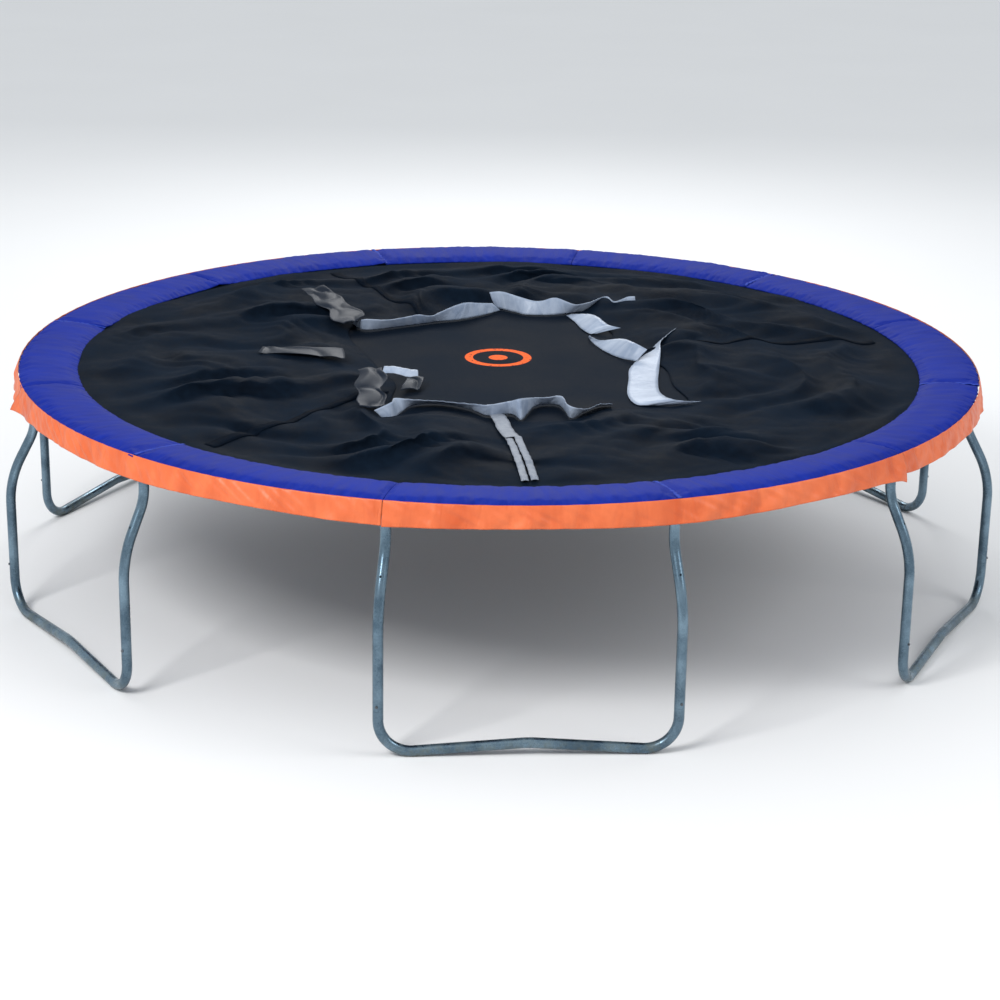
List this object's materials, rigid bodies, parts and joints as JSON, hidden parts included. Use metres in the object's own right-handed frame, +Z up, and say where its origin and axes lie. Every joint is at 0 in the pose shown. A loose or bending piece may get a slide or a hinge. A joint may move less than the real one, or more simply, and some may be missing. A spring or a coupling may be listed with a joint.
{
  "type": "backyard trampoline",
  "caption": "Round backyard trampoline on W legs, with a padded safety ring, hanging skirt, sprung jumping mat and a dropped enclosure net lying on it.",
  "frame": {"origin": "on the ground under the middle of the mat", "axes": "+Z up; -Y towards the first leg, which faces front"},
  "size_m": [4.3668, 4.3668, 1.0802],
  "materials": {
    "galvanised_tube": "galvanised, dull bluish",
    "zinc_screw": "zinc plated",
    "spring_wire": "bright zinc",
    "blue_vinyl": "satin coated vinyl",
    "orange_vinyl": "glossy coated vinyl",
    "elastic": "knitted elastic",
    "webbing": "woven webbing",
    "mat_weave": "woven polypropylene",
    "net_mesh": "fine knitted mesh",
    "silver_band": "silver grey coated fabric"
  },
  "bodies": {
    "frame": {"top_rail_01": "galvanised_tube", "top_rail_02": "galvanised_tube", "top_rail_03": "galvanised_tube", "top_rail_04": "galvanised_tube", "top_rail_05": "galvanised_tube", "top_rail_06": "galvanised_tube", "top_rail_07": "galvanised_tube", "top_rail_08": "galvanised_tube", "top_rail_09": "galvanised_tube", "top_rail_10": "galvanised_tube", "top_rail_11": "galvanised_tube", "top_rail_12": "galvanised_tube", "leg_upright_01": "galvanised_tube", "leg_upright_02": "galvanised_tube", "leg_upright_03": "galvanised_tube", "leg_upright_04": "galvanised_tube", "leg_upright_05": "galvanised_tube", "leg_upright_06": "galvanised_tube", "leg_upright_07": "galvanised_tube", "leg_upright_08": "galvanised_tube", "leg_upright_09": "galvanised_tube", "leg_upright_10": "galvanised_tube", "leg_upright_11": "galvanised_tube", "leg_upright_12": "galvanised_tube", "leg_base_1": "galvanised_tube", "leg_base_2": "galvanised_tube", "leg_base_3": "galvanised_tube", "leg_base_4": "galvanised_tube", "leg_base_5": "galvanised_tube", "leg_base_6": "galvanised_tube", "leg_screws": "zinc_screw", "springs": "spring_wire", "pad_panel_01": "blue_vinyl", "pad_panel_02": "blue_vinyl", "pad_panel_03": "blue_vinyl", "pad_panel_04": "blue_vinyl", "pad_panel_05": "blue_vinyl", "pad_panel_06": "blue_vinyl", "pad_panel_07": "blue_vinyl", "pad_panel_08": "blue_vinyl", "pad_panel_09": "blue_vinyl", "pad_panel_10": "blue_vinyl", "pad_panel_11": "blue_vinyl", "pad_panel_12": "blue_vinyl", "skirt_panel_1": "orange_vinyl", "skirt_panel_2": "orange_vinyl", "skirt_panel_3": "orange_vinyl", "skirt_panel_4": "orange_vinyl", "skirt_panel_5": "orange_vinyl", "skirt_panel_6": "orange_vinyl", "pad_ties": "elastic"},
    "mat_edge": {"mat_rings": "spring_wire", "mat_hem": "webbing", "mat_field": "mat_weave", "enclosure_net": "net_mesh", "net_top_band": "silver_band", "net_door_strap": "silver_band"},
    "mat_middle": {"mat_centre": "mat_weave"}
  },
  "joints": [
    {"name": "mat_edge_drop", "type": "slide", "parent": "frame", "child": "mat_edge", "axis": [0, 0, -1], "range_m": [0, 0.12], "stiffness_N_per_m": 20000, "deforming": ["springs"]},
    {"name": "mat_centre_drop", "type": "slide", "parent": "mat_edge", "child": "mat_middle", "axis": [0, 0, -1], "range_m": [0, 0.24], "stiffness_N_per_m": 4000}
  ],
  "couplings": [
    {"joint": "mat_edge_drop", "follows": "mat_centre_drop", "ratio": 0.5}
  ]
}
